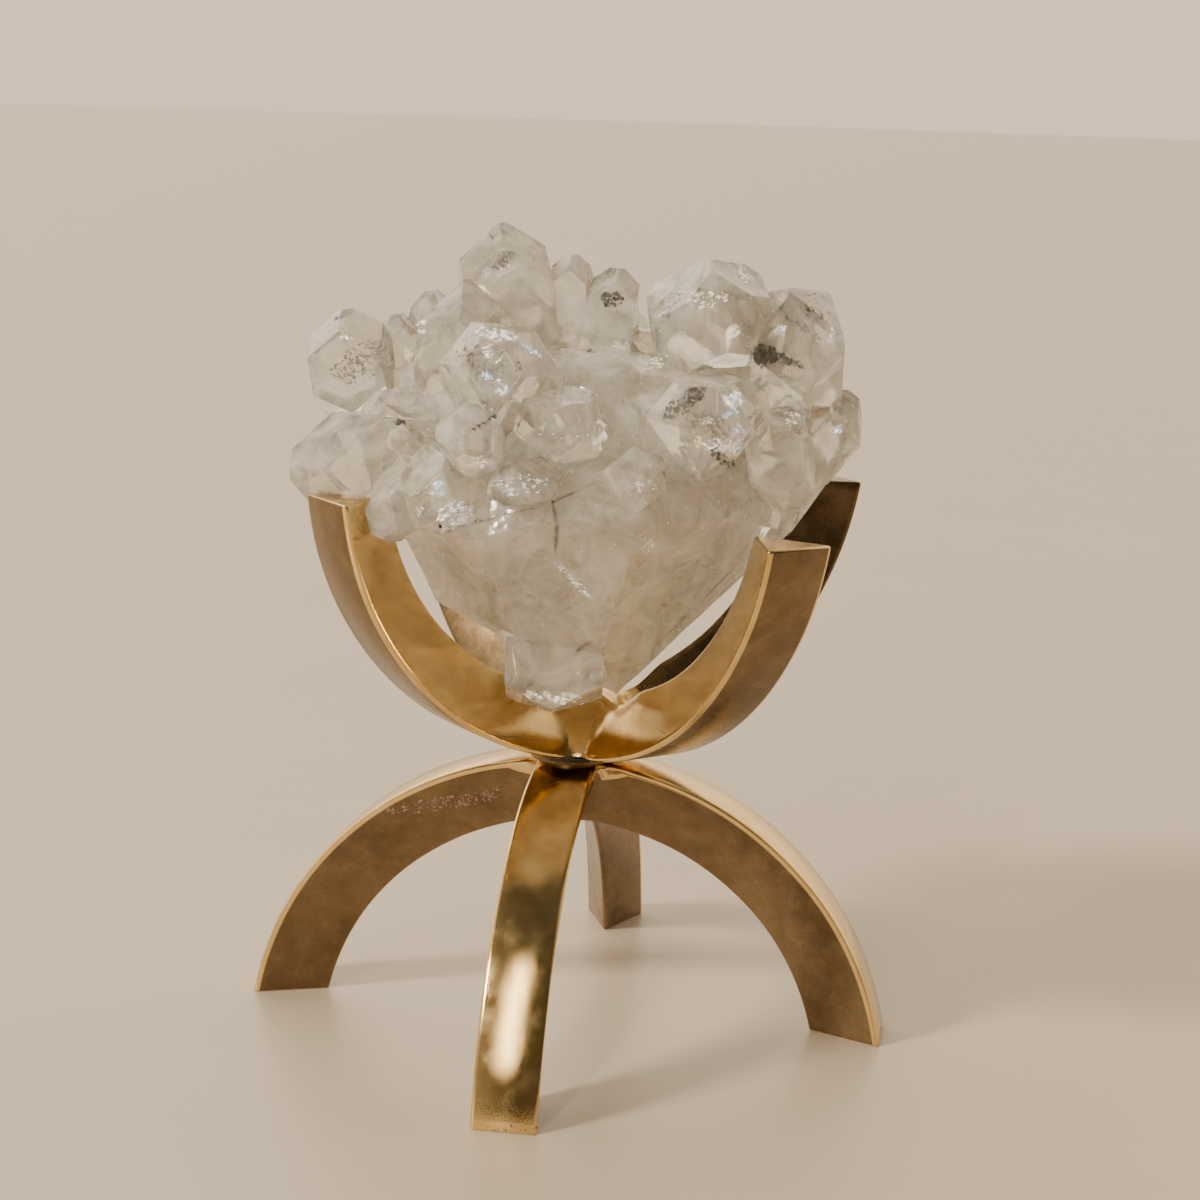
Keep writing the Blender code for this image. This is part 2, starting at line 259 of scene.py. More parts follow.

# Two colours for each tone, which the marks vary between. The white, warm, blue, yellow and rainbow tones are
# the colours of the glowing flakes, painted glints.
TONES = {
    "dark": ((0.05, 0.055, 0.045), (0.17, 0.16, 0.14)),
    "grey": ((0.20, 0.195, 0.19), (0.40, 0.39, 0.375)),
    "brown": ((0.11, 0.065, 0.04), (0.24, 0.15, 0.09)),
    "pink": ((0.26, 0.15, 0.13), (0.48, 0.33, 0.28)),
    "milk": ((0.66, 0.62, 0.54), (0.86, 0.83, 0.76)),
    "white": ((0.95, 0.92, 0.86), (1.0, 0.99, 0.96)),
    "warm": ((0.95, 0.84, 0.64), (1.0, 0.94, 0.80)),
    "blue": ((0.60, 0.80, 1.0), (0.90, 0.96, 1.0)),
    "yellow": ((1.0, 0.90, 0.35), (1.0, 0.97, 0.70)),
    "rainbow": ((1.0, 0.62, 0.82), (0.66, 0.92, 1.0)),
}
MINERALS = ("dark", "grey", "brown", "pink", "milk")

# Of the marks in a cloud: the share that lies right at the surface, the spread of the others' depth, how the
# cloud thins out towards its rim, and the spread of their sizes.
AT_SURFACE = 0.6
DEPTH_SPREAD = (0.3, 1.2)
CLOUD_SPREAD = 0.6
SIZE_SPREAD = (0.4, 1.3)

# Marks scattered all over the surface, so that the sides and the back have theirs too: how many of each tone
# there are in each material slot, and their sizes. The white and warm ones are glowing flakes, painted
# glints.
SCATTERED = {"apophyllite": {"brown": 260, "dark": 120, "white": 420, "warm": 220}, "brass": {}}
SCATTERED_SIZE = (0.08, 0.22)

# How uneven, squeezed, flat and turned a speck is.
GRAIN_UNEVEN = (0.7, 1.3)
GRAIN_SQUEEZE = (0.4, 1.3)
GRAIN_FLATNESS = 0.3
GRAIN_TURN = (0, 3)

# The number of corners that a flake may have, how uneven and how tilted it is, its width against its length,
# how far its corners reach, its half thickness, and how brightly it glows as a painted glint.
FLAKE_CORNERS = (3, 4, 4, 5)
FLAKE_UNEVEN = 0.3
FLAKE_LEAN = 0.12
FLAKE_SLIM = (0.22, 0.8)
FLAKE_REACH = (0.35, 0.75)
FLAKE_THICK = 0.02
PAINTED_GLINT_GLOW = 1.1

# A mark under the surface keeps this far from it, and goes at most this share of the way through the stone.
JUST_INSIDE = 0.02
DEEPEST_SHARE = 0.5

# Cracks and scratches are slivers: how thick they are, and how wide their ends are against their middle.
SLIVER_THICK = 0.05
SLIVER_END = 0.25

# Thin cracks, as the pixels that they run through, how wide they gape in mm, and their tone.
CRACKS = {
    "dark": (((552, 503), (555, 514), (557, 527), (556, 541), (555, 553)), 0.42, "grey"),
    "vein_high": (((555, 553), (562, 566), (570, 577), (580, 588), (590, 602)), 0.10, "milk"),
    "vein_side": (((594, 558), (586, 569), (579, 580), (572, 592)), 0.12, "milk"),
    "vein_low": (((568, 592), (574, 606), (577, 620)), 0.08, "milk"),
    "seam_right": (((540, 507), (562, 498), (583, 489), (603, 480)), 0.12, "grey"),
    "seam_left": (((453, 529), (472, 524), (495, 518), (520, 511), (540, 507)), 0.12, "grey"),
    "edge_outer": (((764, 545), (741, 570), (716, 596), (690, 621), (664, 648), (634, 680)), 0.16, "milk"),
    "edge_middle": (((752, 548), (730, 572), (706, 597), (680, 622), (654, 648)), 0.16, "grey"),
    "edge_inner": (((742, 550), (718, 574), (692, 600), (668, 625)), 0.10, "milk"),
    "body_left": (((520, 640), (535, 643), (550, 645)), 0.10, "grey"),
    "body_right": (((640, 622), (665, 624), (690, 620)), 0.07, "milk"),
    "dash": (((573, 655), (580, 650), (592, 641)), 0.16, "grey"),
    # These two take the glowing white and warm materials of the flakes, so they are painted highlights.
    "foot_left": (((503, 640), (504, 656), (506, 672), (509, 688)), 0.18, "white"),
    "foot_left_inner": (((512, 644), (514, 660), (516, 676)), 0.12, "warm"),
}

# Marks in the brass: old scratches, and the rough cast patch on the side of the left leg.
CUP_SCRATCHES = {
    "cup_left": (((478, 731), (500, 737), (518, 737), (536, 741), (556, 741)), 0.13, "brown"),
    "cup_right": (((655, 728), (664, 733), (674, 737), (686, 733)), 0.12, "brown"),
}
LEG_SCRATCHES = {
    "leg_high": (((548, 786), (556, 782), (566, 783), (574, 789)), 0.08, "brown"),
    "leg_middle": (((512, 953), (512, 975), (510, 1000)), 0.05, "brown"),
    "leg_low": (((497, 1010), (496, 1040), (494, 1070)), 0.05, "brown"),
}
CAST_MARKS = {
    "rough_patch": Cloud(442, 803, 56, 7, 8, 0, 150, 0.30, "pink"),
    "rough_edge": Cloud(490, 795, 16, 6, 20, 0, 40, 0.24, "pink"),
    "foot_dirt": Cloud(510, 1128, 30, 3, 0, 0, 26, 0.22, "brown"),
}


def metres(point):
    return Vector(point) * MM


def camera_axes():
    """The camera's right, up and forward directions."""
    yaw = math.radians(CAMERA_YAW)
    pitch = math.radians(CAMERA_PITCH)
    roll = math.radians(CAMERA_ROLL)
    ahead = Vector((math.sin(yaw) * math.cos(pitch), math.cos(yaw) * math.cos(pitch), -math.sin(pitch)))
    level = Vector((math.cos(yaw), -math.sin(yaw), 0))
    over = level.cross(ahead)
    right = level * math.cos(roll) + over * math.sin(roll)
    up = over * math.cos(roll) - level * math.sin(roll)
    return right, up, ahead


def pixel_ray(x, y):
    """The direction in which the camera sees a pixel of the photograph."""
    right, up, ahead = camera_axes()
    across = (x - PICTURE / 2) / CAMERA_FOCUS
    down = (y - PICTURE / 2) / CAMERA_FOCUS
    return (ahead + right * across - up * down).normalized()


def make_camera():
    right, up, ahead = camera_axes()
    data = bpy.data.cameras.new("camera")
    data.sensor_width = SENSOR
    data.lens = SENSOR * CAMERA_FOCUS / PICTURE
    data.clip_start = CAMERA_NEAR * MM
    data.clip_end = CAMERA_FAR * MM
    camera = bpy.data.objects.new("camera", data)
    bpy.context.scene.collection.objects.link(camera)
    turn = Matrix((right, up, -ahead)).transposed().to_4x4()
    camera.matrix_world = Matrix.Translation(metres(CAMERA_PLACE)) @ turn
    bpy.context.scene.camera = camera


def make_area_light(name, place, size, power, colour):
    data = bpy.data.lights.new(name, "AREA")
    data.shape = "RECTANGLE"
    data.size = size[0] * MM
    data.size_y = size[1] * MM
    data.energy = power
    data.color = colour
    light = bpy.data.objects.new(name, data)
    light.location = metres(place)
    towards = metres(LIGHT_TARGET) - metres(place)
    light.rotation_euler = towards.to_track_quat("-Z", "Y").to_euler()
    bpy.context.scene.collection.objects.link(light)


def make_sun(name, direction, strength, spread, colour):
    data = bpy.data.lights.new(name, "SUN")
    data.energy = strength
    data.angle = math.radians(spread)
    data.color = colour
    sun = bpy.data.objects.new(name, data)
    sun.rotation_euler = Vector(direction).to_track_quat("-Z", "Y").to_euler()
    bpy.context.scene.collection.objects.link(sun)


def make_lights():
    """A warm low sun from the front left, a wide glow from behind, and a tall narrow window on the left."""
    make_sun("sun", direction=(0.74, 0.37, -0.56), strength=2.7, spread=12, colour=(1.0, 0.86, 0.69))
    make_sun("sky_glow", direction=(0.3, -0.7, -0.65), strength=0.6, spread=50, colour=(1.0, 0.92, 0.80))
    make_area_light("window", place=(-217, -546, 400), size=(13, 430), power=1.3, colour=(1.0, 0.86, 0.66))


# Building blocks for materials.


def new_material(name):
    material = bpy.data.materials.new(name)
    material.use_nodes = True
    tree = material.node_tree
    return material, tree, tree.nodes["Principled BSDF"]


def set_inputs(node, **values):
    for label, value in values.items():
        node.inputs[label.replace("_", " ")].default_value = value


def add_node(tree, kind, **values):
    node = tree.nodes.new(kind)
    for label, value in values.items():
        setattr(node, label, value)
    return node


def object_point(tree, scale=(1, 1, 1)):
    """Position on the object in millimetres, stretched by scale."""
    place = add_node(tree, "ShaderNodeTexCoord")
    size = add_node(tree, "ShaderNodeVectorMath", operation="MULTIPLY")
    size.inputs[1].default_value = [s / MM for s in scale]
    tree.links.new(place.outputs["Object"], size.inputs[0])
    return size.outputs[0]


def noise_value(tree, point, scale, detail, rough, distortion=0.0):
    texture = add_node(tree, "ShaderNodeTexNoise")
    set_inputs(texture, Scale=scale, Detail=detail, Roughness=rough, Distortion=distortion)
    tree.links.new(point, texture.inputs["Vector"])
    return texture.outputs["Fac"]


def remap(tree, value, span, result):
    """Carries the values of a span over to another, and keeps the rest at its ends."""
    node = add_node(tree, "ShaderNodeMapRange", clamp=True)
    set_inputs(node, From_Min=span[0], From_Max=span[1], To_Min=result[0], To_Max=result[1])
    tree.links.new(value, node.inputs["Value"])
    return node.outputs["Result"]


def add_values(tree, first, second):
    node = add_node(tree, "ShaderNodeMath", operation="ADD")
    tree.links.new(first, node.inputs[0])
    tree.links.new(second, node.inputs[1])
    return node.outputs[0]


def mix_colours(tree, share, first, second):
    """A colour between two, each of which is a plain colour or a node's output."""
    node = add_node(tree, "ShaderNodeMix", data_type="RGBA")
    tree.links.new(share, node.inputs["Factor"])
    for socket, value in ((node.inputs[6], first), (node.inputs[7], second)):
        if isinstance(value, tuple):
            socket.default_value = (*value, 1)
        else:
            tree.links.new(value, socket)
    return node.outputs[2]


def add_bump(tree, height, strength, distance, under=None):
    bump = add_node(tree, "ShaderNodeBump")
    set_inputs(bump, Strength=strength, Distance=distance * MM)
    tree.links.new(height, bump.inputs["Height"])
    if under is not None:
        tree.links.new(under, bump.inputs["Normal"])
    return bump.outputs["Normal"]


# Building blocks for meshes.


def add_object(name, bm, *materials):
    mesh = bpy.data.meshes.new(name)
    bm.to_mesh(mesh)
    bm.free()
    for material in materials:
        mesh.materials.append(material)
    thing = bpy.data.objects.new(name, mesh)
    bpy.context.scene.collection.objects.link(thing)
    return thing


def apply_modifiers(thing):
    graph = bpy.context.evaluated_depsgraph_get()
    mesh = bpy.data.meshes.new_from_object(thing.evaluated_get(graph))
    thing.modifiers.clear()
    thing.data = mesh


def wear_edges(thing, width, segments, angle):
    """Rounds the edges that are sharper than an angle in degrees."""
    bevel = thing.modifiers.new("worn edges", "BEVEL")
    bevel.width = width * MM
    bevel.segments = segments
    bevel.limit_method = "ANGLE"
    bevel.angle_limit = math.radians(angle)
    apply_modifiers(thing)


def shade_smooth(thing, angle):
    thing.data.shade_smooth()
    thing.data.set_sharp_from_angle(angle=math.radians(angle))


# The brass.


def rounded(before, corner, after):
    """Points round a corner that is worn between two places on its sides."""
    points = []
    for i in range(CURVE_POINTS + 1):
        t = i / CURVE_POINTS
        points.append(before.lerp(corner, t).lerp(corner.lerp(after, t), t))
    return points


def bar_outline(claw):
    """A bar's section as (sideways, inwards): flat outside, two slopes inside, every edge worn round."""
    corner = Vector((claw.width / 2, CORNER_LIFT))
    ridge = Vector((0, claw.depth + RIDGE_RISE))
    slope = (ridge - corner).normalized()
    edge = rounded(corner - Vector((EDGE_ROUND, CORNER_LIFT)), corner, corner + slope * EDGE_ROUND)
    ridge_side = ridge - slope * RIDGE_ROUND
    mirrored_side = Vector((-ridge_side.x, ridge_side.y))
    crown = rounded(ridge_side, ridge, mirrored_side)
    other_edge = [Vector((-p.x, p.y)) for p in reversed(edge)]
    return edge + crown + other_edge


def side_slots(outline):
    """The slot of each side of a bar's section that isn't a worn edge, by the point that it starts from."""
    slope = CURVE_POINTS
    other_slope = 2 * CURVE_POINTS + 1
    back = len(outline) - 1
    slots = {slope: SLOPE, other_slope: SLOPE, back: BACK}
    slots.update({side: RIDGE for side in range(slope + 1, other_slope)})
    return slots


def tip_angle(claw, inwards, height):
    """How far round an arch a point of its section goes to end at a height."""
    return math.acos((claw.radius - height) / (claw.radius - inwards))


def arch_section(claw, outline, height, step):
    """A bar's section at one step along an arch, slightly wavy as by hand. Its tips stay level."""
    section = []
    for side, inwards in outline:
        reach = claw.radius - inwards
        angle = tip_angle(claw, inwards, height) * step / ARCH_STEPS
        spot = Vector((reach * math.sin(angle), side, claw.radius - reach * math.cos(angle)))
        wave = noise.noise_vector(spot * WAVE_SCALE) * WAVE_HEIGHT
        if abs(step) == ARCH_STEPS:
            wave.z = 0
        section.append(spot + wave)
    return section


def make_arch(name, claw, heights, seed, materials):
    """Two opposite arms as one bowl-shaped bar, lowest at the origin, which end at a height each."""
    bm = bmesh.new()
    outline = bar_outline(claw)
    noise.seed_set(seed)
    rings = []
    for step in range(-ARCH_STEPS, ARCH_STEPS + 1):
        height = heights[1] if step > 0 else heights[0]
        section = arch_section(claw, outline, height, step)
        rings.append([bm.verts.new(spot * MM) for spot in section])
    slots = side_slots(outline)
    for ring, following in zip(rings, rings[1:]):
        for i in range(len(ring)):
            j = (i + 1) % len(ring)
            face = bm.faces.new((ring[i], ring[j], following[j], following[i]))
            face.material_index = slots.get(i, EDGE)
    bm.faces.new(rings[0])
    bm.faces.new(rings[-1])
    bmesh.ops.recalc_face_normals(bm, faces=bm.faces)
    arch = add_object(name, bm, *materials)
    wear_edges(arch, TIP_ROUND, 3, TIP_SHARP)
    return arch


def join(thing, other):
    """One closed body from two that overlap."""
    step = thing.modifiers.new("join", "BOOLEAN")
    step.operation = "UNION"
    step.solver = "EXACT"
    step.object = other
    apply_modifiers(thing)
    bpy.data.objects.remove(other, do_unlink=True)


def blend_hub(thing, claw):
    """Runs the arms into each other at the hub, as a casting does, without touching their tips."""
    bm = bmesh.new()
    bm.from_mesh(thing.data)
    middle = metres((0, 0, claw.depth))
    near = []
    for vert in bm.verts:
        away = (vert.co - middle).length / MM
        if away < HUB_BLEND_RADIUS:
            near.append((vert, 1 - (away / HUB_BLEND_RADIUS) ** 2))
    for _ in range(claw.hub_rounds):
        moved = []
        for vert, share in near:
            ends = [edge.other_vert(vert).co for edge in vert.link_edges]
            average = sum(ends, Vector()) / len(ends)
            moved.append(vert.co.lerp(average, HUB_BLEND_STEP * share))
        for (vert, _share), spot in zip(near, moved):
            vert.co = spot
    bm.to_mesh(thing.data)
    bm.free()


def make_plug(plug, material):
    bm = bmesh.new()
    bmesh.ops.create_cone(
        bm,
        cap_ends=True,
        segments=PLUG_SIDES,
        radius1=plug.radius * MM,
        radius2=plug.top_radius * MM,
        depth=(plug.high - plug.low) * MM,
        matrix=Matrix.Translation(metres((0, 0, (plug.low + plug.high) / 2))),
    )
    return add_object("plug", bm, material)


def make_claw(name, claw, first_heights, second_heights, materials):
    """Two arches that cross, as one casting with a smooth hub."""
    thing = make_arch(name, claw, first_heights, claw.seed, materials)
    cross = make_arch(f"{name}_cross", claw, second_heights, claw.seed + 1, materials)
    cross.data.transform(Matrix.Rotation(math.radians(90), 4, "Z"))
    join(thing, cross)
    if claw.fillet:
        join(thing, make_plug(claw.fillet, materials[EDGE]))
    blend_hub(thing, claw)
    return thing


def set_in_place(thing, location, rotation):
    """Turns a thing about X, Y and Z in degrees, then moves it."""
    turn = Matrix.Identity(3)
    for axis, angle in zip("XYZ", rotation):
        turn = Matrix.Rotation(math.radians(angle), 3, axis) @ turn
    thing.data.transform(Matrix.Translation(metres(location)) @ turn.to_4x4())


def make_base(polished, patina_and_painted_shade):
    """The legs: a claw turned over, with a small round pad in the hub for the brazing."""
    heights = (BASE_HEIGHT, BASE_HEIGHT)
    # The slopes and inner ridges of the legs take the darker brass: patina, and painted shade from the
    # shadowed floor that they face.
    base = make_claw("brass_base", BASE, heights, heights, (polished, patina_and_painted_shade, polished, patina_and_painted_shade))
    set_in_place(base, (0, 0, BASE_HEIGHT), (180, 0, BASE_TURN))
    # The pad takes the darker brass as painted shade under the cup.
    pad = Plug(HUB_PAD_RADIUS, HUB_PAD_RADIUS, BASE_HEIGHT - HUB_PAD_DEPTH, BASE_HEIGHT)
    join(base, make_plug(pad, patina_and_painted_shade))
    shade_smooth(base, BRASS_SHARP)
    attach(base, "root")
    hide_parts("claw_base")
    return base


def make_cup(polished, patina_and_painted_shade):
    """The prongs, which lean a little. The front left one is longer. Their flat backs, and the back prongs
    all round, are darker brass as painted shade.
    """
    front = (CUP_HEIGHT_FRONT_LEFT, CUP_HEIGHT)
    side = (CUP_HEIGHT, CUP_HEIGHT)
    cup = make_claw("brass_cup", CUP, front, side, (polished, polished, patina_and_painted_shade, polished))
    set_in_place(cup, (CUP_SHIFT, 0, BASE_HEIGHT + GAP), (*CUP_LEAN, CUP_TURN))
    for face in cup.data.polygons:
        if face.center.y > SHADED_BACK_PRONGS_FROM * MM:
            face.material_index = BACK
    shade_smooth(cup, BRASS_SHARP)
    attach(cup, "root")
    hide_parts("claw_cup")
    return cup


def make_brass(name, finish):
    """Cast brass, polished or darkened by patina and painted shade: fine brushing, cloudy tarnish, and a
    grain of small pits.
    """
    material, tree, shader = new_material(name)
    point = object_point(tree)
    cloud = noise_value(tree, point, scale=0.16, detail=5, rough=0.6, distortion=0.4)
    patch = noise_value(tree, point, scale=0.45, detail=4, rough=0.6, distortion=0.2)
    brushed = noise_value(tree, object_point(tree, (7, 7, 0.5)), scale=1.0, detail=3, rough=0.6)
    grain = noise_value(tree, point, scale=9.0, detail=3, rough=0.7)
    tarnish = remap(tree, cloud, (finish.clean_below, finish.clean_below + 0.3), (0.0, 0.7))
    clean = mix_colours(tree, remap(tree, patch, (0.3, 0.7), (0, 1)), finish.deep, finish.bright)
    colour = mix_colours(tree, tarnish, clean, finish.stain)
    tree.links.new(colour, shader.inputs["Base Color"])
    set_inputs(shader, Metallic=finish.metal)
    smears = remap(tree, patch, (0.35, 0.75), (finish.polish, finish.polish + 0.14))
    rough = add_values(tree, smears, remap(tree, grain, (0.5, 0.8), (0, 0.1)))
    tree.links.new(rough, shader.inputs["Roughness"])
    normal = add_bump(tree, brushed, strength=0.22, distance=0.05)
    normal = add_bump(tree, grain, strength=0.12, distance=0.04, under=normal)
    tree.links.new(normal, shader.inputs["Normal"])
    return material


# The stone.


def make_apophyllite():
    """Clear to milky crystal: see-through where it is clear, softly white where it is clouded."""
    material, tree, shader = new_material("apophyllite")
    set_inputs(shader, Base_Color=(0.95, 0.92, 0.86, 1), IOR=REFRACTION)
    point = object_point(tree)
    wisp = noise_value(tree, point, scale=0.22, detail=3, rough=0.62, distortion=1.2)
    fine = noise_value(tree, point, scale=1.6, detail=2, rough=0.6)
    clear = remap(tree, wisp, (0.35, 0.68), (0.90, 0.45))
    tree.links.new(clear, shader.inputs["Transmission Weight"])
    set_inputs(shader, Subsurface_Weight=0.8, Subsurface_Radius=(1.0, 0.95, 0.85), Subsurface_Scale=4 * MM)
    rough = remap(tree, fine, (0.4, 0.75), (0.04, 0.16))
    tree.links.new(rough, shader.inputs["Roughness"])
    ripple = noise_value(tree, point, scale=0.7, detail=1, rough=0.5)
    normal = add_bump(tree, ripple, strength=0.6, distance=0.14)
    normal = add_bump(tree, fine, strength=0.15, distance=0.05, under=normal)
    tree.links.new(normal, shader.inputs["Normal"])
    volume = add_node(tree, "ShaderNodeVolumeAbsorption")
    set_inputs(volume, Color=(0.93, 0.90, 0.80, 1), Density=16.0)
    tree.links.new(volume.outputs["Volume"], tree.nodes["Material Output"].inputs["Volume"])
    return material


def takes_step(face):
    """Whether a face is a large, plain, convex facet above the massive lower part."""
    if face.calc_area() < STEP_AREA * MM * MM or face.calc_center_median().z < BODY_TOP * MM:
        return False
    corners = [loop.calc_angle() for loop in face.loops]
    if len(corners) > STEP_CORNERS or max(corners) > math.radians(STEP_WIDEST_CORNER):
        return False
    shortest = min(edge.calc_length() for edge in face.edges)
    return shortest >= STEP_SHORTEST_EDGE * MM and all(loop.is_convex for loop in face.loops)


def add_growth_steps(bm, luck):
    """Lowers or lifts the middle of some large facets a little, as a crystal's growth steps do."""
    faces = [face for face in bm.faces if takes_step(face) and luck.random() < STEP_SHARE]
    for face in faces:
        rim = luck.uniform(*STEP_RIM) * MM
        step = luck.choice(STEP_HEIGHTS) * MM
        bmesh.ops.inset_individual(bm, faces=[face], thickness=rim, depth=0.0)
        bmesh.ops.inset_individual(bm, faces=[face], thickness=STEP_SLOPE * MM, depth=step)


def refine_body(bm):
    """Cuts the long edges of the massive lower part, so that its big flat faces can be shaped."""
    for _ in range(BODY_ROUNDS):
        long_edges = []
        for edge in bm.edges:
            low = max(vert.co.z for vert in edge.verts) < BODY_TOP * MM
            if low and edge.calc_length() > BODY_EDGE * MM:
                long_edges.append(edge)
        if not long_edges:
            break
        bmesh.ops.subdivide_edges(bm, edges=long_edges, cuts=1)
        bmesh.ops.triangulate(bm, faces=[face for face in bm.faces if len(face.verts) > 4])


def weather_body(bm):
    """Wears the lower part into a gently hollowed and chipped natural surface."""
    bm.normal_update()
    for vert in bm.verts:
        under = min(1.0, max(0.0, (BODY_TOP - vert.co.z / MM) / BODY_FADE))
        spot = vert.co / MM
        swell = noise.noise(spot * HOLLOW_SCALE)
        chip = abs(noise.noise(spot * CHIP_SCALE + Vector(CHIP_SHIFT)))
        vert.co -= vert.normal * under * (HOLLOW_DEPTH * (1 + swell) / 2 + CHIP_DEPTH * chip) * MM


def make_cluster(material):
    """The solid's own crystals, with growth steps on their faces and their edges very slightly worn."""
    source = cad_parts["apophyllite_cluster"]
    bm = bmesh.new()
    bm.from_mesh(source.data)
    bm.transform(source.matrix_world)
    bmesh.ops.remove_doubles(bm, verts=bm.verts, dist=SEAM_MERGE * MM)
    bmesh.ops.dissolve_limit(bm, angle_limit=math.radians(FLAT_ANGLE), verts=bm.verts, edges=bm.edges)
    add_growth_steps(bm, random.Random(STEP_SEED))
    cluster = add_object("crystal_cluster", bm, material)
    wear_edges(cluster, EDGE_WEAR, 2, CRYSTAL_SHARP)
    bm = bmesh.new()
    bm.from_mesh(cluster.data)
    refine_body(bm)
    weather_body(bm)
    bm.to_mesh(cluster.data)
    bm.free()
    shade_smooth(cluster, CRYSTAL_SHARP)
    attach(cluster, "root")
    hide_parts("apophyllite_cluster")
    return cluster


# Marks on the stone and on the brass.


def bent_ray(ray, normal):
    """The ray's direction once it has passed into the stone."""
    ratio = 1 / REFRACTION
    facing = -normal.dot(ray)
    inside = 1 - ratio * ratio * (1 - facing * facing)
    return (ray * ratio + normal * (ratio * facing - math.sqrt(max(0, inside)))).normalized()


def make_skin(thing):
    """The surface of a thing, for finding where a ray meets it."""
    spots = [vert.co for vert in thing.data.vertices]
    return BVHTree.FromPolygons(spots, [face.vertices[:] for face in thing.data.polygons])


def spot_inside(skin, x, y, depth):
    """The place at a depth under the surface that shows at a pixel, with the surface's normal there."""
    ray = pixel_ray(x, y)
    place, normal, _index, _distance = skin.ray_cast(metres(CAMERA_PLACE), ray)
    if place is None or depth == 0:
        return place, normal
    inwards = bent_ray(ray, normal)
    start = place + inwards * JUST_INSIDE * MM
    _place, _normal, _index, room = skin.ray_cast(start, inwards)
    if room is None:
        return None, None
    return place + inwards * min(depth * MM, room * DEEPEST_SHARE), normal


def cloud_spots(skin, cloud, luck):
    """Random places spread through a cloud, thinning out towards its rim, many of them at the surface."""
    lean = math.radians(cloud.lean)
    right, up, _ahead = camera_axes()
    along_picture = right * math.cos(lean) + up * math.sin(lean)
    spots = []
    for _ in range(cloud.count):
        reach = luck.random() ** CLOUD_SPREAD
        angle = luck.uniform(0, math.tau)
        along = cloud.wide * reach * math.cos(angle)
        over = cloud.high * reach * math.sin(angle)
        x = cloud.x + along * math.cos(lean) - over * math.sin(lean)
        y = cloud.y - along * math.sin(lean) - over * math.cos(lean)
        depth = 0 if luck.random() < AT_SURFACE else cloud.depth * luck.uniform(*DEPTH_SPREAD)
        spot, normal = spot_inside(skin, x, y, depth)
        if spot is not None:
            spots.append((spot, normal, along_picture))
    return spots


def scattered_spots(thing, count, luck):
    """Random places all over the surface, more of them on larger faces."""
    faces = thing.data.polygons
    chosen = luck.choices(faces, weights=[face.area for face in faces], k=count)
    return [(face.center.copy(), face.normal.copy(), Vector((0, 0, 1))) for face in chosen]


def add_speck(bm, spot, normal, _along, size, luck):
    """A tiny uneven grain, flattened against the surface that it sits in."""
    grain = bmesh.ops.create_icosphere(bm, subdivisions=1, radius=size / 2 * MM)
    for vert in grain["verts"]:
        vert.co *= luck.uniform(*GRAIN_UNEVEN)
    squeeze = Matrix.Diagonal((luck.uniform(*GRAIN_SQUEEZE), luck.uniform(*GRAIN_SQUEEZE), GRAIN_FLATNESS, 1))
    turn = normal.to_track_quat("Z", "Y").to_matrix().to_4x4()
    turn = turn @ Matrix.Rotation(luck.uniform(*GRAIN_TURN), 4, "Z")
    bmesh.ops.transform(bm, matrix=Matrix.Translation(spot) @ turn @ squeeze, verts=grain["verts"])


def add_glint_flake(bm, spot, normal, along, size, luck):
    """A tiny thin cleavage plate for a painted glint, longest in one direction of the surface, closed all
    round.
    """
    corners = luck.choice(FLAKE_CORNERS)
    start = luck.uniform(0, math.tau)
    lean = Vector([luck.gauss(0, FLAKE_LEAN) for _ in "xyz"])
    over = (normal + lean).cross(along + lean * 2).normalized()
    turn = Matrix((over.cross(normal + lean).normalized(), over, normal)).transposed()
    slim = luck.uniform(*FLAKE_SLIM)
    ring = []
    for i in range(corners):
        angle = start + math.tau * (i + luck.uniform(-FLAKE_UNEVEN, FLAKE_UNEVEN)) / corners
        reach = size * luck.uniform(*FLAKE_REACH) * MM
        ring.append(turn @ Vector((reach * math.cos(angle), slim * reach * math.sin(angle), 0)))
    thick = normal * FLAKE_THICK * MM
    outer = [bm.verts.new(spot + point + thick) for point in ring]
    inner = [bm.verts.new(spot + point - thick) for point in ring]
    bm.faces.new(outer)
    bm.faces.new(reversed(inner))
    for i in range(corners):
        j = (i + 1) % corners
        bm.faces.new((outer[j], outer[i], inner[i], inner[j]))


def make_marks(thing, clouds, add_one, kind, materials, slot):
    """One object for each tone, holding every cloud of that tone and the scattered marks."""
    skin = make_skin(thing)
    for tone in sorted({cloud.tone for cloud in clouds.values()}):
        bm = bmesh.new()
        for name, cloud in clouds.items():
            if cloud.tone != tone:
                continue
            luck = random.Random(name)
            for spot, normal, along in cloud_spots(skin, cloud, luck):
                add_one(bm, spot, normal, along, cloud.size * luck.uniform(*SIZE_SPREAD), luck)
        luck = random.Random(tone)
        for spot, normal, along in scattered_spots(thing, SCATTERED[slot].get(tone, 0), luck):
            add_one(bm, spot, normal, along, luck.uniform(*SCATTERED_SIZE), luck)
        marks = add_object(f"{tone}_{kind}", bm, materials[tone])
        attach(marks, "root")


